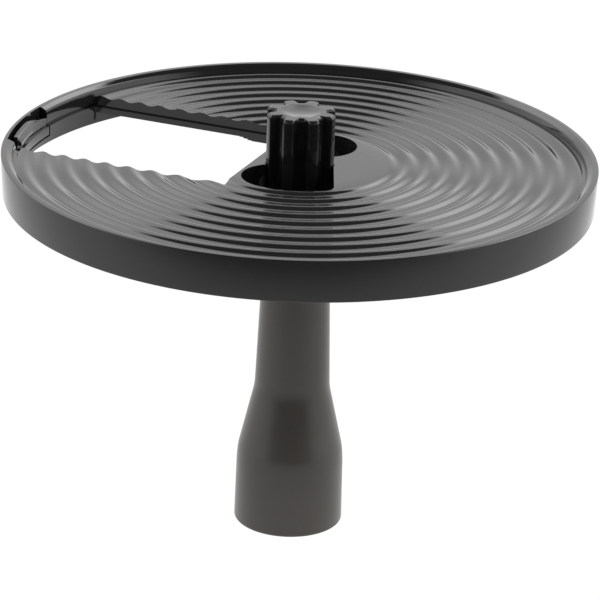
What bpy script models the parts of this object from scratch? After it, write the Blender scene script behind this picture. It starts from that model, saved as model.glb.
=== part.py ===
"""Disc carrier for a food processor: a ridged disc with an opening for drop-in cutting inserts,
seated on a hollow drive stem whose fluted head passes up through the disc's hub.

Metres, +Z up. The origin is the centre of the stem's foot, which stands at z = 0. The insert
opening lies along -X, and the head's eight lobes lie at multiples of 45 degrees.
"""

import math

import bmesh
import bpy

MM = 0.001
GAP = 0.3 * MM  # left between pieces that touch, press or snap into each other
OVERLAP = 0.5 * MM  # how far a shape that is joined on runs into its neighbour
PAST = 5.0 * MM  # how far a cutter runs past the walls that it cuts

# Carrier disc: heights are above the foot, depths are below the ridge crests
RIM_RADIUS = 90.0 * MM
RIM_TOP = 120.1 * MM
BEAD_WIDTH = 3.9 * MM
BEAD_TOP_WIDTH = 1.8 * MM
BEAD_SHOULDER_DROP = 0.9 * MM
BEAD_DRAFT = 0.5 * MM
RIM_ROUND = 0.35 * MM
SKIRT_HEIGHT = 12.7 * MM
SKIRT_WALL = 1.8 * MM
SKIRT_LEAN = 0.6 * MM
DECK_DROP = 2.15 * MM
DECK_THICKNESS = 2.5 * MM
PLATEAU_RADIUS = 27.0 * MM
RIDGE_PITCH = 6.3 * MM
RIDGE_DEPTH = 0.78 * MM
HUB_RADIUS = 14.5 * MM
HUB_DEPTH = 10.35 * MM

# Opening for the cutting insert, and the ledge that carries the insert's edge
SLOT_HALF_WIDTH = 27.9 * MM
SLOT_OFFSET = -0.9 * MM
SLOT_INNER_END = 12.4 * MM
SLOT_WALL = 2.0 * MM
SEAT_DEPTH = 3.5 * MM
SEAT_WIDTH = 1.0 * MM
SEAT_THICKNESS = 1.8 * MM
STIFF_REACH = 29.0 * MM
STIFF_EXTRA = 0.95 * MM

# Two finger pockets, half a turn apart, on either side of the head
POCKET_ANGLE = math.radians(-67.5)
POCKET_LOW_SIDE = -17.5 * MM
POCKET_HIGH_SIDE = 10.2 * MM
POCKET_LOW_CORNER = 10.8 * MM
POCKET_LOW_START = math.radians(-162.5)
POCKET_HIGH_CORNER = 3.0 * MM
POCKET_REACH = 26.8 * MM
POCKET_DEPTH = 6.85 * MM
POCKET_WALL = 1.6 * MM
POCKET_WEB = 1.0 * MM

# Sprung latch at the opening's outer end, beside the middle, with a free recess past its far end
LATCH_START = math.radians(178.7)
LATCH_END = math.radians(197.0)
LATCH_RECESS_END = math.radians(199.4)
LATCH_LEAF = 1.2 * MM
LATCH_NOSE = 1.1 * MM
LATCH_NOSE_START = math.radians(187.5)
LATCH_NOSE_END = math.radians(196.5)
LATCH_NOSE_ABOVE_SEAT = 2.2 * MM
LATCH_NOSE_TIP = 0.7 * MM
LATCH_DROP = 0.5 * MM
LATCH_FAR_DROP = 2.6 * MM
LATCH_TRAVEL = 1.2 * MM
LATCH_ROOT = 1.6 * MM
OUTER_END_EXTRA = 2.75 * MM

# Fluted drive head
LOBE_COUNT = 8
LOBE_RADIUS = 10.7 * MM
FLUTE_RADIUS = 7.8 * MM
HEAD_ABOVE_RIM = 13.7 * MM
HEAD_LEAD_IN = 1.2 * MM
DISH_RADIUS = 5.4 * MM
DISH_DEPTH = 0.8 * MM
HUB_CLEARANCE = 0.3 * MM

# Drive stem
COLLAR_RADIUS = 14.0 * MM
COLLAR_HEIGHT = 2.6 * MM
COLLAR_BLEND = 5.0 * MM
STEM_TOP_RADIUS = 9.6 * MM
STEM_WAIST_RADIUS = 11.6 * MM
STEM_WAIST_HEIGHT = 45.0 * MM
FOOT_SHOULDER_RADIUS = 16.2 * MM
FOOT_SHOULDER_HEIGHT = 24.0 * MM
FOOT_UPPER_RADIUS = 16.5 * MM
FOOT_UPPER_HEIGHT = 20.5 * MM
FOOT_RADIUS = 16.8 * MM
FOOT_ROUND = 0.8 * MM
WEB_THICKNESS = 4.0 * MM
STEM_WALL = 2.1 * MM
SOCKET_WALL = 2.8 * MM

# Pieces inside the stem and the head
SOCKET_RECESS = 3.0 * MM
SOCKET_LENGTH = 22.0 * MM
SPLINE_COUNT = 6
SPLINE_TIP_RADIUS = 8.4 * MM
SPLINE_ROOT_RADIUS = 10.4 * MM
BUSH_LENGTH = 15.0 * MM
BUSH_BORE_RADIUS = 4.2 * MM
BUSH_BELOW_SCREW = 2.0 * MM
SCREW_RADIUS = 1.9 * MM
SCREW_HEAD_RADIUS = 3.8 * MM
SCREW_HEAD_HEIGHT = 2.4 * MM
SCREW_GRIP = 12.0 * MM
SCREW_KEY_RADIUS = 1.7 * MM
SCREW_KEY_DEPTH = 1.3 * MM
WASHER_RADIUS = 5.4 * MM
WASHER_THICKNESS = 1.0 * MM
SEAL_RADIUS = 5.0 * MM
SEAL_SECTION = 0.7 * MM

# How finely round shapes are divided
DISC_STEPS = 72
STEM_STEPS = 48
SMALL_STEPS = 24
POINTS_PER_LOBE = 6

# Sizes that follow from the ones above
CREST_Z = RIM_TOP - DECK_DROP
DECK_UNDERSIDE_Z = CREST_Z - DECK_THICKNESS
SKIRT_BOTTOM_Z = RIM_TOP - SKIRT_HEIGHT
BEAD_INNER_RADIUS = RIM_RADIUS - BEAD_WIDTH
HUB_BOTTOM_Z = CREST_Z - HUB_DEPTH
SEAT_Z = CREST_Z - SEAT_DEPTH
SEAT_BOTTOM_Z = SEAT_Z - SEAT_THICKNESS
STEM_TOP_Z = HUB_BOTTOM_Z - GAP
HEAD_BOTTOM_Z = STEM_TOP_Z + GAP
HEAD_TOP_Z = RIM_TOP + HEAD_ABOVE_RIM
WEB_BOTTOM_Z = STEM_TOP_Z - WEB_THICKNESS
WASHER_TOP_Z = WEB_BOTTOM_Z - GAP
SCREW_SEAT_Z = WASHER_TOP_Z - WASHER_THICKNESS - GAP
SCREW_BOTTOM_Z = SCREW_SEAT_Z - SCREW_HEAD_HEIGHT
BUSH_TOP_Z = SCREW_BOTTOM_Z - BUSH_BELOW_SCREW
SOCKET_BORE_RADIUS = FOOT_SHOULDER_RADIUS - SOCKET_WALL
SOCKET_TOP_Z = SOCKET_RECESS + SOCKET_LENGTH
OUTER_END_BOTTOM_Z = SEAT_BOTTOM_Z - OUTER_END_EXTRA
LATCH_FOOT_Z = OUTER_END_BOTTOM_Z + LATCH_ROOT
LATCH_TOP_Z = RIM_TOP - LATCH_DROP
POCKET_SIDES = (("front", 1), ("back", -1))


def start_scene():
    """Empties the scene and makes the collections for the parts and for their cutters."""
    for item in list(bpy.data.objects):
        bpy.data.objects.remove(item)
    made = []
    for name in ("disc_carrier", "cutters"):
        collection = bpy.data.collections.new(name)
        bpy.context.scene.collection.children.link(collection)
        made.append(collection)
    return made


PARTS, CUTTERS = start_scene()


def finish_material(name, colour, roughness, metallic=0.0):
    """A plain Principled material."""
    material = bpy.data.materials.new(name)
    material.use_nodes = True
    shader = material.node_tree.nodes["Principled BSDF"]
    shader.inputs["Base Color"].default_value = (*colour, 1.0)
    shader.inputs["Roughness"].default_value = roughness
    shader.inputs["Metallic"].default_value = metallic
    return material


def place(name, mesh, material=None):
    """Puts a mesh in the scene: as a part if it has a material, or else as a cutter or an addition."""
    item = bpy.data.objects.new(name, mesh)
    if material:
        mesh.materials.append(material)
        PARTS.objects.link(item)
    else:
        item.hide_render = True
        item.display_type = "WIRE"
        CUTTERS.objects.link(item)
    return item


def turned(name, profile, steps, material=None):
    """A closed profile of (radius, height) points turned about Z. It runs down its outer side."""
    mesh = bpy.data.meshes.new(name)
    count = len(profile)
    edges = [(i, (i + 1) % count) for i in range(count)]
    mesh.from_pydata([(radius, 0.0, height) for radius, height in profile], edges, [])
    item = place(name, mesh, material)
    screw = item.modifiers.new("turn", "SCREW")
    screw.steps = screw.render_steps = steps
    screw.use_merge_vertices = True
    screw.merge_threshold = 0.00001
    screw.use_smooth_shade = True
    return item


def prism(name, outline, low, high, material=None):
    """A flat outline of (x, y) points, filled and raised from low to high."""
    curve = bpy.data.curves.new(name, "CURVE")
    curve.dimensions = "2D"
    curve.fill_mode = "BOTH"
    curve.extrude = (high - low) / 2
    spline = curve.splines.new("POLY")
    spline.points.add(len(outline) - 1)
    for point, (x, y) in zip(spline.points, outline):
        point.co = (x, y, 0.0, 1.0)
    spline.use_cyclic_u = True
    drawn = bpy.data.objects.new(name, curve)
    CUTTERS.objects.link(drawn)
    evaluated = drawn.evaluated_get(bpy.context.evaluated_depsgraph_get())
    mesh = bpy.data.meshes.new_from_object(evaluated)
    bpy.data.objects.remove(drawn)
    work = bmesh.new()
    work.from_mesh(mesh)
    bmesh.ops.remove_doubles(work, verts=work.verts, dist=0.00001)
    bmesh.ops.translate(work, verts=work.verts, vec=(0.0, 0.0, (low + high) / 2))
    bmesh.ops.recalc_face_normals(work, faces=work.faces)
    work.to_mesh(mesh)
    work.free()
    mesh.name = name
    return place(name, mesh, material)


def combine(target, other, operation):
    """Joins a shape to a part, or cuts it away."""
    boolean = target.modifiers.new(other.name, "BOOLEAN")
    boolean.object = other
    boolean.operation = operation


def arc(radius, start, end, count):
    """Points along an arc about the axis."""
    turns = [start + (end - start) * i / count for i in range(count + 1)]
    return [(radius * math.cos(turn), radius * math.sin(turn)) for turn in turns]


def lobed(count, tip, root, grow=0.0):
    """A fluted outline whose radius swings between the lobe tips and the flute roots. The wave is
    flattened twice by a sine, so that the lobes and the flutes are broad and their sides steep."""
    outline = []
    for i in range(count * POINTS_PER_LOBE):
        turn = 2 * math.pi * i / (count * POINTS_PER_LOBE)
        swing = math.cos(count * turn)
        for _ in range(2):
            swing = math.sin(math.pi / 2 * swing)
        radius = (tip + root) / 2 + (tip - root) / 2 * swing + grow
        outline.append((radius * math.cos(turn), radius * math.sin(turn)))
    return outline


def slot_outline(inset, inner_end, outer_radius):
    """The insert opening: two straight sides and an inner end, closed by an arc of the rim."""
    half = SLOT_HALF_WIDTH - inset
    back, front = SLOT_OFFSET + half, SLOT_OFFSET - half
    start, end = (math.pi - math.asin(side / outer_radius) for side in (back, front))
    return [(-inner_end, back), *arc(outer_radius, start, end, 10), (-inner_end, front)]


def pocket_outline(grow, side):
    """A finger pocket: a round low end and a straight high side, joined by an arc at their reach,
    and kept off the opening's wall. The side is 1, or -1 for the pocket half a turn away."""
    reach = POCKET_REACH + grow
    low, high = POCKET_LOW_SIDE - grow, POCKET_HIGH_SIDE + grow
    low_corner, high_corner = POCKET_LOW_CORNER + grow, POCKET_HIGH_CORNER + grow
    low_turn = math.asin((low + low_corner) / (reach - low_corner))
    high_turn = math.asin((high - high_corner) / (reach - high_corner))
    low_end = arc(low_corner, POCKET_LOW_START, low_turn, 12)
    shape = moved(low_end, reach - low_corner, low_turn)
    shape += arc(reach, low_turn, high_turn, 10)[1:-1]
    high_end = arc(high_corner, high_turn, math.pi / 2, 3)
    shape += moved(high_end, reach - high_corner, high_turn)
    shape.append((0.0, high))
    cos, sin = math.cos(POCKET_ANGLE), math.sin(POCKET_ANGLE)
    wall = SLOT_INNER_END - POCKET_WEB + grow
    placed = [(x * cos - y * sin, x * sin + y * cos) for x, y in shape]
    return [(max(side * x, -wall), side * y) for x, y in placed]


def moved(points, distance, turn):
    """Points carried a distance away from the axis in the direction of a turn."""
    across, up = distance * math.cos(turn), distance * math.sin(turn)
    return [(x + across, y + up) for x, y in points]


def deck_profile():
    """The deck's upper side from the plateau out to the rim, as ridges of equal pitch."""
    points = []
    steps = round((BEAD_INNER_RADIUS - PLATEAU_RADIUS) / (RIDGE_PITCH / 2))
    for i in range(steps):
        radius = PLATEAU_RADIUS + i * RIDGE_PITCH / 2
        if radius < BEAD_INNER_RADIUS - RIDGE_PITCH / 4:
            points.append((radius, CREST_Z - (i % 2) * RIDGE_DEPTH))
    points.append((BEAD_INNER_RADIUS, CREST_Z - RIDGE_DEPTH / 2))
    return points


def carrier_disc(material):
    """Rim, skirt, ridged deck and hub as one moulding, with the insert opening's frame."""
    skirt_outer = RIM_RADIUS - SKIRT_LEAN
    skirt_inner = skirt_outer - SKIRT_WALL
    pilot = FLUTE_RADIUS / 2
    profile = [
        (RIM_RADIUS - BEAD_TOP_WIDTH, RIM_TOP),
        (RIM_RADIUS - RIM_ROUND, RIM_TOP),
        (RIM_RADIUS, RIM_TOP - RIM_ROUND),
        (skirt_outer, SKIRT_BOTTOM_Z + RIM_ROUND),
        (skirt_outer - RIM_ROUND, SKIRT_BOTTOM_Z),
        (skirt_inner + RIM_ROUND, SKIRT_BOTTOM_Z),
        (skirt_inner, SKIRT_BOTTOM_Z + RIM_ROUND),
        (skirt_inner, DECK_UNDERSIDE_Z),
        (HUB_RADIUS, DECK_UNDERSIDE_Z),
        (HUB_RADIUS, HUB_BOTTOM_Z),
        (pilot, HUB_BOTTOM_Z),
        (pilot, CREST_Z),
        *deck_profile(),
        (BEAD_INNER_RADIUS + BEAD_DRAFT, RIM_TOP - BEAD_SHOULDER_DROP),
    ]
    disc = turned("carrier_disc", profile, DISC_STEPS, material)

    joined_z = DECK_UNDERSIDE_Z + OVERLAP
    inner_wall = SLOT_INNER_END - SLOT_WALL
    frame_outline = slot_outline(-SLOT_WALL, inner_wall, skirt_inner + OVERLAP)
    combine(disc, prism("slot_frame", frame_outline, SEAT_BOTTOM_Z, joined_z), "UNION")
    half = SLOT_HALF_WIDTH + SLOT_WALL
    back, front = SLOT_OFFSET + half, SLOT_OFFSET - half
    stiff = [(-inner_wall, back), (-STIFF_REACH, back), (-STIFF_REACH, front), (-inner_wall, front)]
    stiffener = prism("slot_stiffener", stiff, SEAT_BOTTOM_Z - STIFF_EXTRA, joined_z)
    combine(disc, stiffener, "UNION")
    corner = math.asin(half / skirt_inner)
    inside = BEAD_INNER_RADIUS - SEAT_WIDTH - OVERLAP
    end_outline = sector(inside, skirt_inner + OVERLAP, math.pi - corner, math.pi + corner)
    combine(disc, prism("outer_end", end_outline, OUTER_END_BOTTOM_Z, joined_z), "UNION")
    well_z = CREST_Z - POCKET_DEPTH - POCKET_WALL
    for name, side in POCKET_SIDES:
        well = prism(f"pocket_well_{name}", pocket_outline(POCKET_WALL, side), well_z, joined_z)
        combine(disc, well, "UNION")

    top = RIM_TOP + PAST
    opening = slot_outline(0.0, SLOT_INNER_END, BEAD_INNER_RADIUS)
    combine(disc, prism("insert_opening", opening, SEAT_Z, top), "DIFFERENCE")
    clear = slot_outline(SEAT_WIDTH, SLOT_INNER_END + SEAT_WIDTH, BEAD_INNER_RADIUS - SEAT_WIDTH)
    through = prism("opening_through_seat", clear, SKIRT_BOTTOM_Z - PAST, top)
    combine(disc, through, "DIFFERENCE")
    for name, side in POCKET_SIDES:
        pocket = prism(f"pocket_{name}", pocket_outline(0.0, side), CREST_Z - POCKET_DEPTH, top)
        combine(disc, pocket, "DIFFERENCE")
    hub_bore = lobed(LOBE_COUNT, LOBE_RADIUS, FLUTE_RADIUS, HUB_CLEARANCE)
    combine(disc, prism("hub_bore", hub_bore, HUB_BOTTOM_Z - PAST, top), "DIFFERENCE")
    combine(disc, latch_room(), "DIFFERENCE")
    return disc


def sector(inner, outer, start, end):
    """Part of a ring, as an outline."""
    return arc(outer, start, end, 8) + arc(inner, end, start, 8)


def latch_room():
    """The space in the rim that the latch stands in and springs back into."""
    spare = GAP / BEAD_INNER_RADIUS
    inner = BEAD_INNER_RADIUS - SEAT_WIDTH - PAST
    outer = BEAD_INNER_RADIUS + LATCH_LEAF + LATCH_TRAVEL + GAP
    outline = sector(inner, outer, LATCH_START - spare, LATCH_RECESS_END)
    return prism("latch_room", outline, LATCH_FOOT_Z - GAP, RIM_TOP + PAST)


def insert_latch(material):
    """A leaf in the rim with a seat for the insert's edge and a ramped nose that snaps over it. Its
    top falls away past the nose, and it bends about its foot."""
    outer = BEAD_INNER_RADIUS + LATCH_LEAF
    leaf = sector(BEAD_INNER_RADIUS, outer, LATCH_START, LATCH_END)
    latch = prism("insert_latch", leaf, LATCH_FOOT_Z, LATCH_TOP_Z, material)
    level_y = BEAD_INNER_RADIUS * math.sin(LATCH_NOSE_START)
    fall = LATCH_FAR_DROP / (BEAD_INNER_RADIUS * math.sin(LATCH_START) - level_y)
    for vertex in latch.data.vertices:
        if vertex.co.z > SEAT_Z:
            vertex.co.z -= fall * max(vertex.co.y - level_y, 0.0)
    inside_leaf = outer - LATCH_LEAF / 2
    step = GAP / BEAD_INNER_RADIUS
    seat_inner = BEAD_INNER_RADIUS - SEAT_WIDTH
    seat = sector(seat_inner, inside_leaf, LATCH_START + step, LATCH_END - step)
    combine(latch, prism("latch_seat", seat, LATCH_FOOT_Z + GAP, SEAT_Z), "UNION")
    outline = sector(BEAD_INNER_RADIUS - LATCH_NOSE, inside_leaf, LATCH_NOSE_START, LATCH_NOSE_END)
    nose_bottom = SEAT_Z + LATCH_NOSE_ABOVE_SEAT
    nose = prism("latch_nose", outline, nose_bottom, LATCH_TOP_Z - GAP)
    for vertex in nose.data.vertices:
        if vertex.co.z > nose_bottom + LATCH_NOSE_TIP and vertex.co.xy.length < BEAD_INNER_RADIUS:
            vertex.co.z = nose_bottom + LATCH_NOSE_TIP
    combine(latch, nose, "UNION")
    return latch


def drive_head(material):
    """The fluted head that drives the disc and serves as its grip."""
    outline = lobed(LOBE_COUNT, LOBE_RADIUS, FLUTE_RADIUS)
    head = prism("drive_head", outline, HEAD_BOTTOM_Z, HEAD_TOP_Z, material)
    lead_in = [
        (LOBE_RADIUS + PAST, HEAD_TOP_Z + PAST),
        (LOBE_RADIUS + PAST, HEAD_TOP_Z - HEAD_LEAD_IN),
        (LOBE_RADIUS + GAP, HEAD_TOP_Z - HEAD_LEAD_IN),
        (LOBE_RADIUS - HEAD_LEAD_IN * 0.3, HEAD_TOP_Z - HEAD_LEAD_IN * 0.4),
        (LOBE_RADIUS - HEAD_LEAD_IN, HEAD_TOP_Z + GAP),
        (LOBE_RADIUS - HEAD_LEAD_IN, HEAD_TOP_Z + PAST),
    ]
    combine(head, turned("head_lead_in", lead_in, STEM_STEPS), "DIFFERENCE")
    dish = [
        (DISH_RADIUS, HEAD_TOP_Z + PAST),
        (DISH_RADIUS, HEAD_TOP_Z),
        (DISH_RADIUS * 0.6, HEAD_TOP_Z - DISH_DEPTH),
        (0.0, HEAD_TOP_Z - DISH_DEPTH),
        (0.0, HEAD_TOP_Z + PAST),
    ]
    combine(head, turned("head_dish", dish, SMALL_STEPS), "DIFFERENCE")
    room = SEAL_SECTION + GAP
    groove_top = HEAD_BOTTOM_Z + 2 * SEAL_SECTION + GAP
    groove = [
        (SEAL_RADIUS + room, groove_top),
        (SEAL_RADIUS + room, HEAD_BOTTOM_Z - PAST),
        (SEAL_RADIUS - room, HEAD_BOTTOM_Z - PAST),
        (SEAL_RADIUS - room, groove_top),
    ]
    combine(head, turned("seal_groove", groove, SMALL_STEPS), "DIFFERENCE")
    pilot_top = STEM_TOP_Z + SCREW_GRIP + GAP
    pilot = arc(SCREW_RADIUS + GAP, 0.0, 2 * math.pi, SMALL_STEPS)[:-1]
    combine(head, prism("screw_pilot", pilot, HEAD_BOTTOM_Z - PAST, pilot_top), "DIFFERENCE")
    return head


def stem_radius(height):
    """The stem's outer radius between its waist and its top."""
    share = (height - STEM_WAIST_HEIGHT) / (STEM_TOP_Z - STEM_WAIST_HEIGHT)
    return STEM_WAIST_RADIUS + share * (STEM_TOP_RADIUS - STEM_WAIST_RADIUS)


def bore_radius(height):
    """The stem's inner radius there, one wall inside its outer surface."""
    return stem_radius(height) - STEM_WALL


def stem_tube(material):
    """The hollow stem: a slim drafted tube, a flare and a foot, closed at the top by a web."""
    neck_z = STEM_TOP_Z - COLLAR_HEIGHT - COLLAR_BLEND
    ceiling_z = SOCKET_TOP_Z + GAP
    profile = [
        (COLLAR_RADIUS, STEM_TOP_Z),
        (COLLAR_RADIUS, STEM_TOP_Z - COLLAR_HEIGHT),
        (stem_radius(neck_z), neck_z),
        (STEM_WAIST_RADIUS, STEM_WAIST_HEIGHT),
        (FOOT_SHOULDER_RADIUS, FOOT_SHOULDER_HEIGHT),
        (FOOT_UPPER_RADIUS, FOOT_UPPER_HEIGHT),
        (FOOT_RADIUS, FOOT_ROUND),
        (FOOT_RADIUS - FOOT_ROUND * 0.3, FOOT_ROUND * 0.3),
        (FOOT_RADIUS - FOOT_ROUND, 0.0),
        (SOCKET_BORE_RADIUS, 0.0),
        (SOCKET_BORE_RADIUS, ceiling_z),
        (SPLINE_ROOT_RADIUS, ceiling_z),
        (bore_radius(STEM_WAIST_HEIGHT), STEM_WAIST_HEIGHT),
        (bore_radius(WEB_BOTTOM_Z), WEB_BOTTOM_Z),
        (SCREW_RADIUS + GAP, WEB_BOTTOM_Z),
        (SCREW_RADIUS + GAP, STEM_TOP_Z),
    ]
    return turned("stem_tube", profile, STEM_STEPS, material)


def drive_socket(material):
    """The splined sleeve pressed into the foot, which takes the motor's coupling."""
    outer = arc(SOCKET_BORE_RADIUS - GAP, 0.0, 2 * math.pi, STEM_STEPS)[:-1]
    socket = prism("drive_socket", outer, SOCKET_RECESS, SOCKET_TOP_Z, material)
    splines = lobed(SPLINE_COUNT, SPLINE_ROOT_RADIUS, SPLINE_TIP_RADIUS)
    cutter = prism("socket_splines", splines, SOCKET_RECESS - PAST, SOCKET_TOP_Z + PAST)
    combine(socket, cutter, "DIFFERENCE")
    return socket


def spindle_bush(material):
    """The sleeve near the stem's top that runs on the tip of the bowl's spindle."""
    bottom_z = BUSH_TOP_Z - BUSH_LENGTH
    profile = [
        (bore_radius(BUSH_TOP_Z) - GAP, BUSH_TOP_Z),
        (bore_radius(bottom_z) - GAP, bottom_z),
        (BUSH_BORE_RADIUS, bottom_z),
        (BUSH_BORE_RADIUS, BUSH_TOP_Z),
    ]
    return turned("spindle_bush", profile, SMALL_STEPS, material)


def screw_washer(material):
    """The washer that spreads the head screw's load over the web."""
    bottom_z = WASHER_TOP_Z - WASHER_THICKNESS
    hole = SCREW_RADIUS + GAP
    profile = [
        (WASHER_RADIUS, WASHER_TOP_Z),
        (WASHER_RADIUS, bottom_z),
        (hole, bottom_z),
        (hole, WASHER_TOP_Z),
    ]
    return turned("screw_washer", profile, SMALL_STEPS, material)


def head_screw(material):
    """The screw that holds the head on the stem, driven from inside the stem."""
    tip_z = STEM_TOP_Z + SCREW_GRIP
    profile = [
        (0.0, tip_z),
        (SCREW_RADIUS / 2, tip_z),
        (SCREW_RADIUS, tip_z - SCREW_RADIUS),
        (SCREW_RADIUS, SCREW_SEAT_Z),
        (SCREW_HEAD_RADIUS, SCREW_SEAT_Z),
        (SCREW_HEAD_RADIUS, SCREW_SEAT_Z - SCREW_HEAD_HEIGHT * 0.6),
        (SCREW_HEAD_RADIUS * 0.7, SCREW_BOTTOM_Z),
        (0.0, SCREW_BOTTOM_Z),
    ]
    screw = turned("head_screw", profile, SMALL_STEPS, material)
    key = arc(SCREW_KEY_RADIUS, 0.0, 2 * math.pi, 6)[:-1]
    key_top = SCREW_BOTTOM_Z + SCREW_KEY_DEPTH
    combine(screw, prism("screw_key", key, SCREW_BOTTOM_Z - PAST, key_top), "DIFFERENCE")
    return screw


def neck_seal(material):
    """The sealing ring between the head and the stem, which keeps juice out of the stem."""
    centre_z = HEAD_BOTTOM_Z + SEAL_SECTION
    bpy.ops.mesh.primitive_torus_add(
        major_radius=SEAL_RADIUS,
        minor_radius=SEAL_SECTION,
        major_segments=SMALL_STEPS * 2,
        minor_segments=10,
        location=(0.0, 0.0, centre_z),
    )
    seal = bpy.context.object
    seal.name = seal.data.name = "neck_seal"
    seal.data.materials.append(material)
    for collection in list(seal.users_collection):
        collection.objects.unlink(seal)
    PARTS.objects.link(seal)
    return seal


def smooth_round_faces():
    """Shades round faces smooth and keeps the edges between them sharp."""
    for item in PARTS.objects:
        item.data.shade_smooth()
        item.data.set_sharp_from_angle(angle=math.radians(35))


black_gloss = finish_material("black_gloss", (0.010, 0.010, 0.011), 0.16)
black_satin = finish_material("black_satin", (0.022, 0.021, 0.021), 0.38)
socket_grey = finish_material("socket_grey", (0.060, 0.060, 0.062), 0.45)
bush_white = finish_material("bush_white", (0.720, 0.700, 0.640), 0.40)
steel = finish_material("steel", (0.600, 0.600, 0.610), 0.28, 1.0)
seal_rubber = finish_material("seal_rubber", (0.015, 0.015, 0.015), 0.70)

carrier_disc(black_gloss)
insert_latch(black_gloss)
drive_head(black_gloss)
stem_tube(black_satin)
drive_socket(socket_grey)
spindle_bush(bush_white)
screw_washer(steel)
head_screw(steel)
neck_seal(seal_rubber)
smooth_round_faces()
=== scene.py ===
# %% [markdown]
# # A disc carrier on its drive stem
#
# This lesson dresses a food processor's disc carrier: a ridged black disc with an opening for a
# drop-in cutting insert, standing on a hollow stem, with a fluted head through its hub. The packed
# model fixes every size and every moving part. The lesson makes the fine surfaces around it, so
# each new piece takes its place from the box of the part that it stands for.

# %% Load the frame
import math

import bmesh
import bpy
from mathutils import Matrix, Vector


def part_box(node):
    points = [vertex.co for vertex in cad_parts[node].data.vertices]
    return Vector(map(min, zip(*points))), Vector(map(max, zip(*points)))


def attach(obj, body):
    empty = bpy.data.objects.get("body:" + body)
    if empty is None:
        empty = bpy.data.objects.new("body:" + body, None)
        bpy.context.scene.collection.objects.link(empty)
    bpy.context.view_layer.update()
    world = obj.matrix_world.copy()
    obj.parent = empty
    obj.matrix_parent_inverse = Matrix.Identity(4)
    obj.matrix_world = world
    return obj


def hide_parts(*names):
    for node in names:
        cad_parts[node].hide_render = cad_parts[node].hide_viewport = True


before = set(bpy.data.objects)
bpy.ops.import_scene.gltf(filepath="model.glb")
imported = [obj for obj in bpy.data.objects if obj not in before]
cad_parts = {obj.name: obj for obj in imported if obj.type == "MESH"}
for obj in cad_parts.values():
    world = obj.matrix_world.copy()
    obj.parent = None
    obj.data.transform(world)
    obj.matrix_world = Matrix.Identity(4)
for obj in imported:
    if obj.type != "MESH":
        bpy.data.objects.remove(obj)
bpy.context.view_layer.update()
MM = 0.001

# %% [markdown]
# ## Where things are
#
# The disc's box gives the rim's radius and its two heights, and the boxes of the head and the stem
# give theirs. The other sizes are those of the mouldings themselves: wall thicknesses, depths below
# the deck, and the angles at which the opening, the pockets and the latch lie. They could all be
# typed in, but a size that is read from the frame can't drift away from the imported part.

# %% Read the main sizes from the frame
disc_low, disc_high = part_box("carrier_disc")
head_low, head_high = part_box("drive_head")
stem_low, stem_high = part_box("stem_tube")

RIM_RADIUS = disc_high.x
RIM_TOP = disc_high.z
SKIRT_BOTTOM = disc_low.z
DECK_DROP = 2.15 * MM
CREST = RIM_TOP - DECK_DROP
RIDGE_PITCH = 6.3 * MM
RIDGE_DEPTH = 0.78 * MM
PLATEAU_RADIUS = 27.0 * MM
DECK_THICKNESS = 2.5 * MM
BEAD_WIDTH = 3.9 * MM
BEAD_INNER = RIM_RADIUS - BEAD_WIDTH
SEAT_DEPTH = 3.5 * MM
SEAT = CREST - SEAT_DEPTH
print(f"rim {RIM_RADIUS / MM:.1f} mm, top at {RIM_TOP / MM:.1f} mm")
print(f"stem {stem_high.z / MM:.1f} mm tall, head up to {head_high.z / MM:.1f} mm")

# %% [markdown]
# ## Camera
#
# A long lens from about a metre away keeps the rim's ellipse flat and calm. The camera looks down
# on the disc by a little over nineteen degrees, and it is tipped and rolled by a degree or two, as
# a hand-set camera is. A constraint could aim it, but three small turns on a sphere say exactly
# where it stands and how it is held.

# %% Set the camera
VIEW_AZIMUTH = math.radians(22.0)
VIEW_ELEVATION = math.radians(19.346)
VIEW_DISTANCE = 1.080
VIEW_ANGLE = math.radians(9.583)
TIP_DOWN = math.radians(2.338)
TURN = math.radians(-0.08)
ROLL = math.radians(1.98)


def add_camera():
    """Puts the camera on a sphere around the rim's centre and aims it."""
    data = bpy.data.cameras.new("camera")
    data.sensor_width = 36.0
    data.angle = VIEW_ANGLE
    data.clip_start = 0.05
    camera = bpy.data.objects.new("camera", data)
    bpy.context.scene.collection.objects.link(camera)
    across = VIEW_DISTANCE * math.cos(VIEW_ELEVATION)
    place = Vector((
        across * math.sin(VIEW_AZIMUTH),
        -across * math.cos(VIEW_AZIMUTH),
        RIM_TOP + VIEW_DISTANCE * math.sin(VIEW_ELEVATION),
    ))
    camera.matrix_world = (
        Matrix.Translation(place)
        @ Matrix.Rotation(VIEW_AZIMUTH, 4, "Z")
        @ Matrix.Rotation(math.pi / 2 - VIEW_ELEVATION, 4, "X")
        @ Matrix.Rotation(TURN, 4, "Y")
        @ Matrix.Rotation(-TIP_DOWN, 4, "X")
        @ Matrix.Rotation(ROLL, 4, "Z")
    )
    bpy.context.scene.camera = camera
    return camera


camera = add_camera()
bpy.context.scene.view_settings.view_transform = "Standard"
bpy.context.scene.view_settings.look = "None"
print("camera at", [round(number, 3) for number in camera.matrix_world.translation])

# %% [markdown]
# ## Shader sums as plain expressions
#
# Node trees are easier to read as arithmetic. `Value` wraps one output socket, and its operators
# add the Math nodes, so `1 - mask * 0.3` builds what it says. Every other node comes from one
# method, which takes the node's type, its settings and the values of its sockets.


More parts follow.
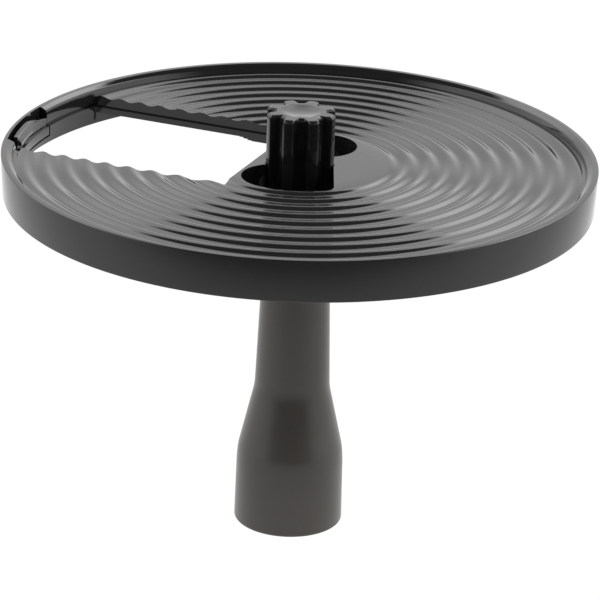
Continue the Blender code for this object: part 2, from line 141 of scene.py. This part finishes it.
# %% A small class for node expressions
class Value:
    """One output socket of a node tree, which adds Math nodes when used in a sum."""

    def __init__(self, tree, socket):
        self.tree = tree
        self.socket = socket

    def math(self, operation, *others):
        node = self.tree.nodes.new("ShaderNodeMath")
        node.operation = operation
        for place, item in enumerate((self, *others)):
            put(self.tree, node.inputs[place], item)
        return Value(self.tree, node.outputs[0])

    def __add__(self, other):
        return self.math("ADD", other)

    def __mul__(self, other):
        return self.math("MULTIPLY", other)

    def __sub__(self, other):
        return self.math("SUBTRACT", other)

    def __rsub__(self, other):
        return (self * -1.0).math("ADD", other)


def put(tree, socket, item):
    """Links a value to a socket, or sets the socket to a plain number or colour."""
    if isinstance(item, Value):
        tree.links.new(item.socket, socket)
    else:
        socket.default_value = item


class Graph:
    """A node tree that adds nodes by type."""

    def __init__(self, tree):
        self.tree = tree

    def node(self, kind, settings=None, out=0, **sockets):
        """Adds a node, sets its settings and then its sockets, and gives the output asked for."""
        node = self.tree.nodes.new("ShaderNode" + kind)
        for name, setting in (settings or {}).items():
            setattr(node, name, setting)
        for name, item in sockets.items():
            put(self.tree, node.inputs[name.replace("_", " ")], item)
        return Value(self.tree, node.outputs[out])

    def smooth(self, value, low, high):
        """0 below low, 1 above high, and a smooth step between. Low may be the larger one."""
        node = self.tree.nodes.new("ShaderNodeMapRange")
        node.interpolation_type = "SMOOTHSTEP"
        put(self.tree, node.inputs["Value"], value)
        flipped = low > high
        node.inputs["From Min"].default_value = min(low, high)
        node.inputs["From Max"].default_value = max(low, high)
        node.inputs["To Min"].default_value = 1.0 if flipped else 0.0
        node.inputs["To Max"].default_value = 0.0 if flipped else 1.0
        return Value(self.tree, node.outputs[0])

    def parts(self, vector):
        """A vector's three numbers."""
        node = self.tree.nodes.new("ShaderNodeSeparateXYZ")
        put(self.tree, node.inputs[0], vector)
        return [Value(self.tree, node.outputs[i]) for i in range(3)]


# %% [markdown]
# ## The studio
#
# Glossy black plastic shows little but its surroundings, so the surroundings are the real material
# here. Behind the object a pale backdrop rises to about forty-seven degrees, and the ceiling above
# it is dark. The sides are bright, and a panel on either side of the backdrop grows brighter with
# its height. A flat deck then mirrors the backdrop, and each ridge mirrors backdrop on its crest and
# darkness on its slope. Large lamps would do this too, but they would have to be kept out of view,
# and a world written in terms of direction has none. The camera itself sees plain white.

# %% Light the world around the object
BACKDROP = 1.25
BACKDROP_TOP = 0.73
BACKDROP_EDGE = 0.05
SIDES_TALLER = 0.05
SIDES = 1.75
RIGHT_PANEL = (1.6, 2.4)
LEFT_PANEL = (1.1, 0.8)
PANEL_RISE = (0.36, 0.70)
OVERHEAD = 0.10
CAMERA_SIDE = 0.22
WHITE = (1.0, 1.0, 1.0, 1.0)


def panel(graph, outwards, inner, outer):
    """A panel beside the backdrop: its inner part's light, and what its outer part adds."""
    return graph.smooth(outwards, 0.02, 0.14) * inner + graph.smooth(outwards, 0.2, 0.3) * outer


def light_world():
    """Gives each direction its brightness, in terms of how high it is and how far it is behind."""
    world = bpy.data.worlds.new("studio")
    world.use_nodes = True
    bpy.context.scene.world = world
    tree = world.node_tree
    tree.nodes.clear()
    graph = Graph(tree)
    direction = graph.node("TexCoord", out=0)
    turned = graph.node(
        "VectorRotate",
        {"rotation_type": "Z_AXIS"},
        Vector=direction,
        Angle=-VIEW_AZIMUTH,
    )
    right, behind, up = graph.parts(turned)
    taller = graph.smooth(right * right, 0.0, 0.02) * SIDES_TALLER
    low = graph.smooth(up - taller, BACKDROP_TOP, BACKDROP_TOP - BACKDROP_EDGE)
    back = graph.smooth(behind, -0.45, 0.1)
    side = graph.smooth(right * right, 0.35, 0.8)
    backdrop = back * BACKDROP + (1 - back) * CAMERA_SIDE
    ring = side * SIDES + (1 - side) * backdrop
    panels = panel(graph, right, *RIGHT_PANEL) + panel(graph, right * -1.0, *LEFT_PANEL)
    panels = panels * graph.smooth(up, *PANEL_RISE) * back
    strength = low * (ring + panels) + (1 - low) * OVERHEAD
    seen = graph.node("LightPath", out=0)
    shown = seen + (1 - seen) * strength
    background = graph.node("Background", Color=WHITE, Strength=shown)
    out = tree.nodes.new("ShaderNodeOutputWorld")
    tree.links.new(background.socket, out.inputs["Surface"])
    return world


studio = light_world()
print("studio:", len(studio.node_tree.nodes), "nodes")

# %% [markdown]
# ## The light table
#
# The object stands on a pale surface that glows, and the glow fades towards the camera, so that the
# skirt and the stem are dark in front and light at their edges. A lit white plane would need lamps
# and would catch a shadow. A glowing one gives the same pale ground with neither.

# %% Make the light table
TABLE_SIZE = 8.0
TABLE_GLOW = 1.02
TABLE_NEAR = -0.10
TABLE_FAR_FRONT = -0.45
TABLE_DIM = 0.25


def light_table():
    """A pale glowing floor that fades in front of the object, and is plain white to the camera."""
    bpy.ops.mesh.primitive_plane_add(size=TABLE_SIZE)
    table = bpy.context.object
    table.name = "light_table"
    material = bpy.data.materials.new("table_glow")
    material.use_nodes = True
    tree = material.node_tree
    tree.nodes.clear()
    graph = Graph(tree)
    place = graph.node("TexCoord", out=3)
    turned = graph.node(
        "VectorRotate",
        {"rotation_type": "Z_AXIS"},
        Vector=place,
        Angle=-VIEW_AZIMUTH,
    )
    _, behind, _ = graph.parts(turned)
    glow = graph.smooth(behind, TABLE_FAR_FRONT, TABLE_NEAR)
    glow = glow + (1 - glow) * TABLE_DIM
    seen = graph.node("LightPath", out=0)
    glow = seen + (1 - seen) * glow
    light = graph.node("Emission", Color=WHITE, Strength=glow * TABLE_GLOW)
    out = tree.nodes.new("ShaderNodeOutputMaterial")
    tree.links.new(light.socket, out.inputs["Surface"])
    table.data.materials.append(material)
    return table


table = light_table()
print(f"light table: {table.dimensions.x:.0f} m square")

# %% [markdown]
# ## Finishes
#
# The disc and the head are the same polished black plastic, and the stem is a duller one. Neither
# is a single flat value: the polish varies in soft patches, the surface has the faint waviness of
# a moulding, and handling leaves the finest of rubbed marks. Painted maps could hold all of that,
# but noise needs no unwrapping and stays fine at any distance, so one recipe serves every piece.


# %% Make the moulded plastics
PATCHES_PER_METRE = 38.0
MARKS_PER_METRE = 900.0
MARKS_SHARE = 0.4
WORN_LIGHTER = 1.25
MIX_FACTOR, MIX_FIRST, MIX_SECOND, MIX_RESULT = 0, 6, 7, 2


def plastic(name, colour, roughness, patchy, wave_height, wave_size):
    """A moulded plastic: patches in its polish and a faint waviness in its surface."""
    material = bpy.data.materials.new(name)
    material.use_nodes = True
    tree = material.node_tree
    shader = tree.nodes["Principled BSDF"]
    graph = Graph(tree)
    place = graph.node("TexCoord", out=3)
    patches = graph.node("TexNoise", Vector=place, Scale=PATCHES_PER_METRE, Detail=4.0)
    rubbed = graph.node("TexNoise", Vector=place, Scale=MARKS_PER_METRE, Detail=2.0)
    waves = graph.node("TexNoise", Vector=place, Scale=1.0 / wave_size, Detail=1.0)
    polish = (patches - 0.5) * patchy + (rubbed - 0.5) * (patchy * MARKS_SHARE) + roughness
    put(tree, shader.inputs["Roughness"], polish)
    tint = graph.smooth(patches, 0.35, 0.7)
    mixed = graph.node("Mix", {"data_type": "RGBA"}, out=MIX_RESULT)
    sockets = mixed.socket.node.inputs
    sockets[MIX_FIRST].default_value = (*colour, 1.0)
    sockets[MIX_SECOND].default_value = (*(c * WORN_LIGHTER for c in colour), 1.0)
    put(tree, sockets[MIX_FACTOR], tint)
    put(tree, shader.inputs["Base Color"], mixed)
    bump = graph.node("Bump", Height=waves, Strength=1.0, Distance=wave_height)
    put(tree, shader.inputs["Normal"], bump)
    shader.inputs["IOR"].default_value = 1.5
    return material


gloss_black = plastic("gloss_black", (0.0125, 0.0121, 0.0118), 0.065, 0.04, 0.00001, 0.0035)
satin_black = plastic("satin_black", (0.037, 0.032, 0.027), 0.31, 0.10, 0.00002, 0.0020)
socket_grey = plastic("socket_grey", (0.060, 0.060, 0.062), 0.45, 0.10, 0.00003, 0.0012)
bush_white = plastic("bush_white", (0.700, 0.680, 0.620), 0.38, 0.10, 0.00002, 0.0015)
seal_rubber = plastic("seal_rubber", (0.014, 0.014, 0.014), 0.68, 0.12, 0.00004, 0.0008)
steel = plastic("steel", (0.580, 0.580, 0.590), 0.26, 0.12, 0.00002, 0.0006)
steel.node_tree.nodes["Principled BSDF"].inputs["Metallic"].default_value = 1.0
print("finishes:", ", ".join(sorted(material.name for material in bpy.data.materials)))

# %% [markdown]
# ## Turned shapes with real fillets
#
# The rim, the skirt, the deck and the stem are all bodies of revolution. Each is drawn as an outline
# of a few corners, each corner is rounded by an arc of its own radius, and the outline is then
# turned around the axis in fine steps. A Bevel modifier could round a coarse mesh instead, but it
# gives every edge one width, and a moulding has a different radius at each corner.


# %% Helpers for outlines and turned meshes
def rounded(corners, steps=5):
    """A closed outline of (x, y, radius) corners, with each corner replaced by an arc."""
    points = []
    count = len(corners)
    for i, (x, y, radius) in enumerate(corners):
        here = Vector((x, y))
        if radius <= 0.0:
            points.append(here)
            continue
        before = Vector(corners[i - 1][:2]) - here
        after = Vector(corners[(i + 1) % count][:2]) - here
        before.normalize()
        after.normalize()
        half = before.angle(after) / 2
        reach = radius / math.tan(half)
        centre = here + (before + after).normalized() * (radius / math.sin(half))
        first = here + before * reach - centre
        last = here + after * reach - centre
        sweep = first.angle_signed(last)
        for k in range(steps + 1):
            turn = -sweep * k / steps
            cos, sin = math.cos(turn), math.sin(turn)
            swung = Vector((first.x * cos - first.y * sin, first.x * sin + first.y * cos))
            points.append(centre + swung)
    return [(p.x, p.y) for p in points]


def turn_outline(name, outline, steps):
    """Turns a closed outline of (radius, height) around Z into a mesh of quads."""
    work = bmesh.new()
    rings = []
    for k in range(steps):
        angle = 2 * math.pi * k / steps
        cos, sin = math.cos(angle), math.sin(angle)
        rings.append([work.verts.new((r * cos, r * sin, z)) for r, z in outline])
    count = len(outline)
    for k in range(steps):
        here, there = rings[k], rings[(k + 1) % steps]
        for i in range(count):
            j = (i + 1) % count
            work.faces.new((here[i], here[j], there[j], there[i]))
    bmesh.ops.recalc_face_normals(work, faces=work.faces)
    return finished(name, work)


def finished(name, work):
    """Makes an object from a bmesh."""
    mesh = bpy.data.meshes.new(name)
    work.to_mesh(mesh)
    work.free()
    item = bpy.data.objects.new(name, mesh)
    bpy.context.scene.collection.objects.link(item)
    return item


def prism(name, outline, low, high):
    """A flat outline raised between two heights. The upper one may depend on the place."""
    work = bmesh.new()
    floor = [work.verts.new((x, y, low)) for x, y in outline]
    face = work.faces.new(floor)
    top = bmesh.ops.extrude_face_region(work, geom=[face])["geom"]
    verts = [v for v in top if isinstance(v, bmesh.types.BMVert)]
    for vert in verts:
        vert.co.z = high(vert.co) if callable(high) else high
    bmesh.ops.recalc_face_normals(work, faces=work.faces)
    return finished(name, work)


def arc(radius, start, end, count):
    """Points along an arc about the axis."""
    turns = [start + (end - start) * k / count for k in range(count + 1)]
    return [(radius * math.cos(t), radius * math.sin(t)) for t in turns]


def sector(inner, outer, start, end, count=24):
    """Part of a ring as an outline."""
    return arc(outer, start, end, count) + arc(inner, end, start, count)


def combine(target, other, operation):
    """Joins or cuts, applies the result and drops the tool."""
    boolean = target.modifiers.new("boolean", "BOOLEAN")
    boolean.object = other
    boolean.operation = operation
    boolean.solver = "MANIFOLD"
    bake_modifiers(target)
    bpy.data.objects.remove(other)


def bake_modifiers(item):
    """Replaces an object's mesh with its evaluated one."""
    graph = bpy.context.evaluated_depsgraph_get()
    mesh = bpy.data.meshes.new_from_object(item.evaluated_get(graph))
    item.modifiers.clear()
    item.data = mesh


def shade(item, material, angle=32.0):
    """Smooth faces with sharp edges beyond an angle, and one material."""
    item.data.materials.clear()
    item.data.materials.append(material)
    item.data.shade_smooth()
    item.data.set_sharp_from_angle(angle=math.radians(angle))


# %% [markdown]
# ## The ridged disc
#
# The disc is one moulding: a rounded bead on a thin skirt, a thin ridged deck, a hub, and walls
# that frame the insert opening. The ridges are a plain cosine from the edge of the flat plateau out
# to the rim. They could be a displacement on a flat plate, but a turned outline gives true rings
# with the least mesh. The deck is turned first, so that all the rest joins or cuts one clean body.

# %% Turn the rim, skirt, deck and hub
DISC_STEPS = 360
RIDGE_POINTS = 14
BEAD_TOP = 1.8 * MM
BEAD_DRAFT = 0.5 * MM
SHOULDER_DROP = 0.85 * MM
SKIRT_LEAN = 0.6 * MM
SKIRT_WALL = 1.8 * MM
HUB_RADIUS = 14.5 * MM
HUB_DEPTH = 10.35 * MM
PILOT_RADIUS = 4.0 * MM
PLAIN_RING = 6.0 * MM
HUB_BOTTOM = CREST - HUB_DEPTH
UNDERSIDE = CREST - DECK_THICKNESS
skirt_outer = RIM_RADIUS - SKIRT_LEAN
skirt_inner = skirt_outer - SKIRT_WALL


def ridge_height(radius):
    """The deck's upper side: flat on the plateau, then a cosine of equal pitch."""
    if radius <= PLATEAU_RADIUS:
        return CREST
    turns = (radius - PLATEAU_RADIUS) / RIDGE_PITCH
    return CREST - RIDGE_DEPTH / 2 * (1 - math.cos(2 * math.pi * turns))


def deck_points():
    """The ridges as points, from the plateau's edge to the rim's foot."""
    step = RIDGE_PITCH / RIDGE_POINTS
    count = int((BEAD_INNER - 0.3 * MM - PLATEAU_RADIUS) / step)
    radii = [PLATEAU_RADIUS + step * k for k in range(count + 1)]
    return [(radius, ridge_height(radius)) for radius in radii]


def ridged_disc():
    """The turned body of the disc, from the bead over the skirt and the hub back to the deck."""
    rim = rounded([
        (BEAD_INNER + BEAD_DRAFT, RIM_TOP - SHOULDER_DROP, 0.7 * MM),
        (RIM_RADIUS - BEAD_TOP, RIM_TOP, 1.0 * MM),
        (RIM_RADIUS, RIM_TOP, 0.35 * MM),
        (skirt_outer, SKIRT_BOTTOM, 0.3 * MM),
        (skirt_inner, SKIRT_BOTTOM, 0.4 * MM),
        (skirt_inner, UNDERSIDE, 1.0 * MM),
        (HUB_RADIUS, UNDERSIDE, 1.0 * MM),
        (HUB_RADIUS, HUB_BOTTOM, 0.5 * MM),
        (PILOT_RADIUS, HUB_BOTTOM, 0.0),
        (PILOT_RADIUS, CREST, 0.0),
        (PLATEAU_RADIUS - PLAIN_RING, CREST, 0.0),
        (BEAD_INNER, CREST - RIDGE_DEPTH / 2, 0.0),
    ])
    outline = rim[:-1] + deck_points() + rim[-1:]
    return turn_outline("ridged_disc", outline, DISC_STEPS)


disc = ridged_disc()
print("disc:", len(disc.data.polygons), "faces before the cuts")

# %% [markdown]
# ## The opening's frame and the pocket wells
#
# Walls hang below the deck around the opening and carry the ledge that an insert rests on. A deeper
# block closes the outer end, and each finger pocket has its own well. They could be built as sheets
# that meet at edges, but closed prisms that run into the deck join it without any gap to stitch.

# %% Join the opening's frame and the pocket wells
SLOT_HALF = 27.9 * MM
SLOT_OFFSET = -0.9 * MM
SLOT_INNER = 12.4 * MM
SLOT_WALL = 2.0 * MM
SEAT_WIDTH = 1.0 * MM
SEAT_THICKNESS = 1.8 * MM
OUTER_END_EXTRA = 2.75 * MM
FRAME_BOTTOM = SEAT - SEAT_THICKNESS
OUTER_END_BOTTOM = FRAME_BOTTOM - OUTER_END_EXTRA
STIFF_REACH = 29.0 * MM
STIFF_EXTRA = 0.95 * MM
STIFF_SLOPE = 2.0 * MM
STIFF_BOTTOM = FRAME_BOTTOM - STIFF_EXTRA
HAIR = 0.01 * MM
POCKET_ANGLE = math.radians(-67.5)
POCKET_REACH = 26.8 * MM
POCKET_LOW_SIDE = -17.5 * MM
POCKET_LOW_CORNER = 10.8 * MM
POCKET_LOW_START = math.radians(-162.5)
POCKET_HIGH_SIDE = 10.2 * MM
POCKET_HIGH_CORNER = 3.0 * MM
POCKET_DEPTH = 6.85 * MM
POCKET_WALL = 1.6 * MM
POCKET_WEB = 1.0 * MM
OVERLAP = 0.5 * MM
joined = UNDERSIDE + OVERLAP


def slot_outline(inset, inner_end, outer_radius):
    """Two straight sides and a straight inner end, closed by an arc of the rim."""
    half = SLOT_HALF - inset
    back, front = SLOT_OFFSET + half, SLOT_OFFSET - half
    start, end = (math.pi - math.asin(side / outer_radius) for side in (back, front))
    return [(-inner_end, back), *arc(outer_radius, start, end, 48), (-inner_end, front)]


def pocket_outline(grow, side):
    """A finger pocket: a round low end and a straight high side, joined by an arc."""
    reach = POCKET_REACH + grow
    low, high = POCKET_LOW_SIDE - grow, POCKET_HIGH_SIDE + grow
    low_corner, high_corner = POCKET_LOW_CORNER + grow, POCKET_HIGH_CORNER + grow
    low_turn = math.asin((low + low_corner) / (reach - low_corner))
    high_turn = math.asin((high - high_corner) / (reach - high_corner))
    low_end = arc(low_corner, POCKET_LOW_START, low_turn, 40)
    shape = moved(low_end, reach - low_corner, low_turn)
    shape += arc(reach, low_turn, high_turn, 40)[1:-1]
    shape += moved(arc(high_corner, high_turn, math.pi / 2, 10), reach - high_corner, high_turn)
    shape.append((0.0, high))
    cos, sin = math.cos(POCKET_ANGLE), math.sin(POCKET_ANGLE)
    wall = SLOT_INNER - POCKET_WEB + grow
    placed = [(x * cos - y * sin, x * sin + y * cos) for x, y in shape]
    return [(max(side * x, -wall), side * y) for x, y in placed]


def moved(points, distance, turn):
    """Points carried away from the axis in the direction of a turn."""
    across, up = distance * math.cos(turn), distance * math.sin(turn)
    return [(x + across, y + up) for x, y in points]


def join_stiffener(target, half):
    """The deeper stretch of the frame's walls near the hub. Its lower edge slopes up in four steps,
    and each step is wider than the last by a hair, so that no two share a face."""
    start = SLOT_INNER - SLOT_WALL - HAIR
    back, front = SLOT_OFFSET + half, SLOT_OFFSET - half
    steps = (
        (STIFF_REACH - STIFF_SLOPE, STIFF_BOTTOM, 1 * HAIR),
        (STIFF_REACH - 0.7 * MM, STIFF_BOTTOM + 0.16 * MM, 2 * HAIR),
        (STIFF_REACH + 0.7 * MM, STIFF_BOTTOM + 0.50 * MM, 3 * HAIR),
        (STIFF_REACH + STIFF_SLOPE, FRAME_BOTTOM - 0.12 * MM, 4 * HAIR),
    )
    for reach, bottom, wide in steps:
        far, near = back + wide, front - wide
        stiff = [(-start, far), (-reach, far), (-reach, near), (-start, near)]
        combine(target, prism("stiffener", stiff, bottom, joined + wide), "UNION")


def join_frame(target):
    """The walls around the opening, the outer end's block and the wells of the two pockets."""
    outline = slot_outline(-SLOT_WALL, SLOT_INNER - SLOT_WALL, skirt_inner + OVERLAP)
    combine(target, prism("frame", outline, FRAME_BOTTOM, joined), "UNION")
    half = SLOT_HALF + SLOT_WALL + HAIR
    join_stiffener(target, half)
    corner = math.asin(half / skirt_inner)
    inside = BEAD_INNER - SEAT_WIDTH - OVERLAP
    outside = skirt_inner + OVERLAP + 10 * HAIR
    block = sector(inside, outside, math.pi - corner, math.pi + corner, 48)
    combine(target, prism("outer_end", block, OUTER_END_BOTTOM, joined + 2 * HAIR), "UNION")
    well_bottom = CREST - POCKET_DEPTH - POCKET_WALL
    for side in (1, -1):
        well = prism("well", pocket_outline(POCKET_WALL, side), well_bottom, joined)
        combine(target, well, "UNION")


join_frame(disc)
print("disc:", len(disc.data.polygons), "faces with its frame")

# %% [markdown]
# ## The cuts
#
# An insert drops into the opening and rests on its ledge, fingers reach into the two pockets, and
# the head passes through a fluted bore. A real mould has cores in these places. Booleans do what
# the cores do, and each cutter is drawn from the same sizes as the piece that it makes room for.

# %% Cut the opening, the pockets, the hub bore and the latch's recess
LOBES = 8
LOBE_RADIUS = head_high.x
FLUTE_RADIUS = 7.8 * MM
HUB_CLEARANCE = 0.3 * MM
LATCH_START = math.radians(178.7)
LATCH_END = math.radians(197.0)
LATCH_FAR_DROP = 2.6 * MM
NOSE_START = math.radians(187.5)
NOSE_END = math.radians(196.5)
RECESS_START = math.radians(178.35)
RECESS_END = math.radians(199.4)
RECESS_REACH = 6.0 * MM
RECESS_DEPTH = 2.7 * MM
LATCH_ROOT = 1.6 * MM
LATCH_FOOT = OUTER_END_BOTTOM + LATCH_ROOT
GAP = 0.3 * MM
BEAD_CUT = 0.1 * MM
PAST = 5.0 * MM
above = RIM_TOP + PAST
below = SKIRT_BOTTOM - PAST


def lobed(grow, points_per_lobe=36):
    """The fluted outline of the head, or of the bore around it. Two sines flatten its wave, so that
    the lobes and the flutes are broad."""
    count = LOBES * points_per_lobe
    outline = []
    for k in range(count):
        turn = 2 * math.pi * k / count
        wave = math.sin(math.pi / 2 * math.sin(math.pi / 2 * math.cos(LOBES * turn)))
        radius = (LOBE_RADIUS + FLUTE_RADIUS) / 2 + grow + (LOBE_RADIUS - FLUTE_RADIUS) / 2 * wave
        outline.append((radius * math.cos(turn), radius * math.sin(turn)))
    return outline


def cut_disc(target):
    """Every cut through the deck, from the largest to the smallest. The opening runs a little into
    the bead's foot, so that its round end leaves no sliver there."""
    opening = slot_outline(0.0, SLOT_INNER, BEAD_INNER + BEAD_CUT)
    combine(target, prism("opening", opening, SEAT, above), "DIFFERENCE")
    clear = slot_outline(SEAT_WIDTH, SLOT_INNER + SEAT_WIDTH, BEAD_INNER - SEAT_WIDTH)
    combine(target, prism("through", clear, below, above), "DIFFERENCE")
    for side in (1, -1):
        pocket = prism("pocket", pocket_outline(0.0, side), CREST - POCKET_DEPTH, above)
        combine(target, pocket, "DIFFERENCE")
    combine(target, prism("bore", lobed(HUB_CLEARANCE), below, above), "DIFFERENCE")
    inner, outer = BEAD_INNER - RECESS_REACH, BEAD_INNER + RECESS_DEPTH
    recess = sector(inner, outer, RECESS_START, RECESS_END)
    combine(target, prism("recess", recess, LATCH_FOOT - GAP, above), "DIFFERENCE")


cut_disc(disc)
shade(disc, gloss_black)
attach(disc, "carrier")
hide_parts("carrier_disc")
print("disc:", len(disc.data.polygons), "faces after the cuts")

# %% [markdown]
# ## The latch
#
# A thin leaf stands in a recess of the rim beside the middle of the opening's outer end. It carries
# its own stretch of seat, and its nose snaps over the insert's edge: the nose's ramp faces up, so
# that an insert pressed down pushes the leaf aside. Past the nose the leaf's top falls away. On the
# real disc the leaf grows out of the rim and bends. It is a piece of its own here, because it moves.


# %% Build the latch
LATCH_LEAF = 1.2 * MM
LATCH_DROP = 0.5 * MM
LATCH_EDGE = 0.15 * MM
NOSE_REACH = 1.1 * MM
NOSE_ABOVE_SEAT = 2.2 * MM
NOSE_TIP = 0.7 * MM


def latch_piece():
    """Leaf, seat and ramped nose, with softened edges."""
    outer = BEAD_INNER + LATCH_LEAF
    inside = outer - LATCH_LEAF / 2
    top = RIM_TOP - LATCH_DROP
    under = SEAT + NOSE_ABOVE_SEAT
    level = BEAD_INNER * math.sin(NOSE_START)
    fall = LATCH_FAR_DROP / (BEAD_INNER * math.sin(LATCH_START) - level)

    def falling(place):
        return top - fall * max(place.y - level, 0.0)

    def ramp(place):
        return under + NOSE_TIP if place.xy.length < BEAD_INNER else top - GAP

    outline = sector(BEAD_INNER, outer, LATCH_START, LATCH_END, 36)
    leaf = prism("latch_leaf", outline, LATCH_FOOT, falling)
    step = GAP / BEAD_INNER
    seat = sector(BEAD_INNER - SEAT_WIDTH, inside, LATCH_START + step, LATCH_END - step, 36)
    combine(leaf, prism("seat", seat, LATCH_FOOT + GAP, SEAT), "UNION")
    nose = sector(BEAD_INNER - NOSE_REACH, inside, NOSE_START, NOSE_END, 18)
    combine(leaf, prism("nose", nose, under, ramp), "UNION")
    bevel = leaf.modifiers.new("soften", "BEVEL")
    bevel.width = LATCH_EDGE
    bevel.segments = 3
    bevel.limit_method = "ANGLE"
    bevel.angle_limit = math.radians(40)
    bake_modifiers(leaf)
    return leaf


latch = latch_piece()
shade(latch, gloss_black)
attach(latch, "latch")
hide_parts("insert_latch")
print("latch:", len(latch.data.polygons), "faces")

# %% [markdown]
# ## The fluted head
#
# The head's eight lobes keep their shape all the way up and then roll over into a shallow dish.
# Every ring of the mesh is the same outline, drawn in towards the dish's round edge as it rises, so
# that lobes and flutes meet the top in one soft curve. A bevel on a plain prism would pinch where
# the flutes turn inwards, and rings of equal count can't.

# %% Build the head ring by ring
DISH_RADIUS = 5.9 * MM
DISH_DEPTH = 0.6 * MM
ROLL_HEIGHT = 1.1 * MM
HEAD_POINTS = 48
SIDE_RINGS, ROLL_RINGS, TOP_RINGS, DISH_RINGS = 8, 12, 4, 8


def head_rings():
    """Outlines and heights from the head's foot, over its shoulder and down into the dish."""
    outline = [Vector(p) for p in lobed(0.0, HEAD_POINTS)]
    drawn_in = [p.normalized() * (p.length - ROLL_HEIGHT) for p in outline]
    foot, top = head_low.z, head_high.z
    straight = top - ROLL_HEIGHT - foot
    rings = [(outline, foot + straight * k / SIDE_RINGS) for k in range(SIDE_RINGS + 1)]
    for k in range(1, ROLL_RINGS + 1):
        turn = math.pi / 2 * k / ROLL_RINGS
        ring = [p.lerp(edge, 1 - math.cos(turn)) for p, edge in zip(outline, drawn_in)]
        rings.append((ring, top - ROLL_HEIGHT * (1 - math.sin(turn))))
    last = rings[-1][0]
    for k in range(1, TOP_RINGS + 1):
        ring = [p.lerp(p.normalized() * DISH_RADIUS, k / TOP_RINGS) for p in last]
        rings.append((ring, top))
    for k in range(1, DISH_RINGS + 1):
        share = 1 - k / (DISH_RINGS + 1)
        ring = [p.normalized() * DISH_RADIUS * share for p in outline]
        rings.append((ring, top - DISH_DEPTH * (1 - share**2)))
    return rings


def fluted_head():
    """Skins the rings and closes both ends."""
    work = bmesh.new()
    rings = [[work.verts.new((p.x, p.y, z)) for p in ring] for ring, z in head_rings()]
    count = len(rings[0])
    for low, high in zip(rings, rings[1:]):
        for i in range(count):
            j = (i + 1) % count
            work.faces.new((low[i], low[j], high[j], high[i]))
    work.faces.new(rings[0][::-1])
    work.faces.new(rings[-1])
    bmesh.ops.recalc_face_normals(work, faces=work.faces)
    return finished("fluted_head", work)


head = fluted_head()
shade(head, gloss_black, 50.0)
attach(head, "drive_stem")
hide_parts("drive_head")
print("head:", len(head.data.polygons), "faces")

# %% [markdown]
# ## The stem
#
# The stem is a long drafted tube that flares into its foot. The flare's two bends are soft, and the
# foot's lower edge is rounded, where it is set down. A curve with a bevel object could draw it, but
# the turned outline is at hand and lets each bend have the radius that the real one shows.

# %% Turn the stem
STEM_STEPS = 192
ARC_STEPS = 8
COLLAR_RADIUS = 14.0 * MM
COLLAR_HEIGHT = 2.6 * MM
NECK_RADIUS = 9.85 * MM
NECK_DROP = 7.6 * MM
WAIST_RADIUS, WAIST_HEIGHT = 11.6 * MM, 44.6 * MM
SHOULDER_RADIUS, SHOULDER_HEIGHT = 16.2 * MM, 24.2 * MM
FOOT_TOP_RADIUS, FOOT_TOP_HEIGHT = 16.5 * MM, 20.5 * MM
SOCKET_RADIUS, SOCKET_CEILING = 13.4 * MM, 25.3 * MM
SPLINE_RADIUS = 10.4 * MM
BORE_RADIUS, BORE_HEIGHT = 9.5 * MM, 45.0 * MM
BORE_TOP_RADIUS = 7.7 * MM
WEB = 4.0 * MM
SCREW_HOLE = 2.2 * MM


def stem_piece():
    """The hollow stem with its collar under the disc."""
    top = stem_high.z
    outline = rounded([
        (COLLAR_RADIUS, top, 0.5 * MM),
        (COLLAR_RADIUS, top - COLLAR_HEIGHT, 0.8 * MM),
        (NECK_RADIUS, top - NECK_DROP, 5.0 * MM),
        (WAIST_RADIUS, WAIST_HEIGHT, 22.0 * MM),
        (SHOULDER_RADIUS, SHOULDER_HEIGHT, 20.0 * MM),
        (FOOT_TOP_RADIUS, FOOT_TOP_HEIGHT, 40.0 * MM),
        (stem_high.x, 0.0, 0.9 * MM),
        (SOCKET_RADIUS, 0.0, 0.4 * MM),
        (SOCKET_RADIUS, SOCKET_CEILING, 0.3 * MM),
        (SPLINE_RADIUS, SOCKET_CEILING, 1.0 * MM),
        (BORE_RADIUS, BORE_HEIGHT, 4.0 * MM),
        (BORE_TOP_RADIUS, top - WEB, 0.6 * MM),
        (SCREW_HOLE, top - WEB, 0.0),
        (SCREW_HOLE, top, 0.0),
    ], ARC_STEPS)
    return turn_outline("stem", outline, STEM_STEPS)


stem = stem_piece()
shade(stem, satin_black)
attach(stem, "drive_stem")
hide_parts("stem_tube")
print("stem:", len(stem.data.polygons), "faces")

# %% [markdown]
# ## Inside the stem
#
# A splined sleeve takes the motor's coupling, a bush runs on the spindle's tip, and a screw with its
# washer holds the head, over a sealing ring. They could be dressed like the rest, but they only
# show from below and in a cutaway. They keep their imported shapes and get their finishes.

# %% Finish the inner pieces
INNER = {
    "drive_socket": socket_grey,
    "spindle_bush": bush_white,
    "screw_washer": steel,
    "head_screw": steel,
    "neck_seal": seal_rubber,
}
for name, material in INNER.items():
    shade(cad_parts[name], material)
print("finished inside:", ", ".join(INNER))
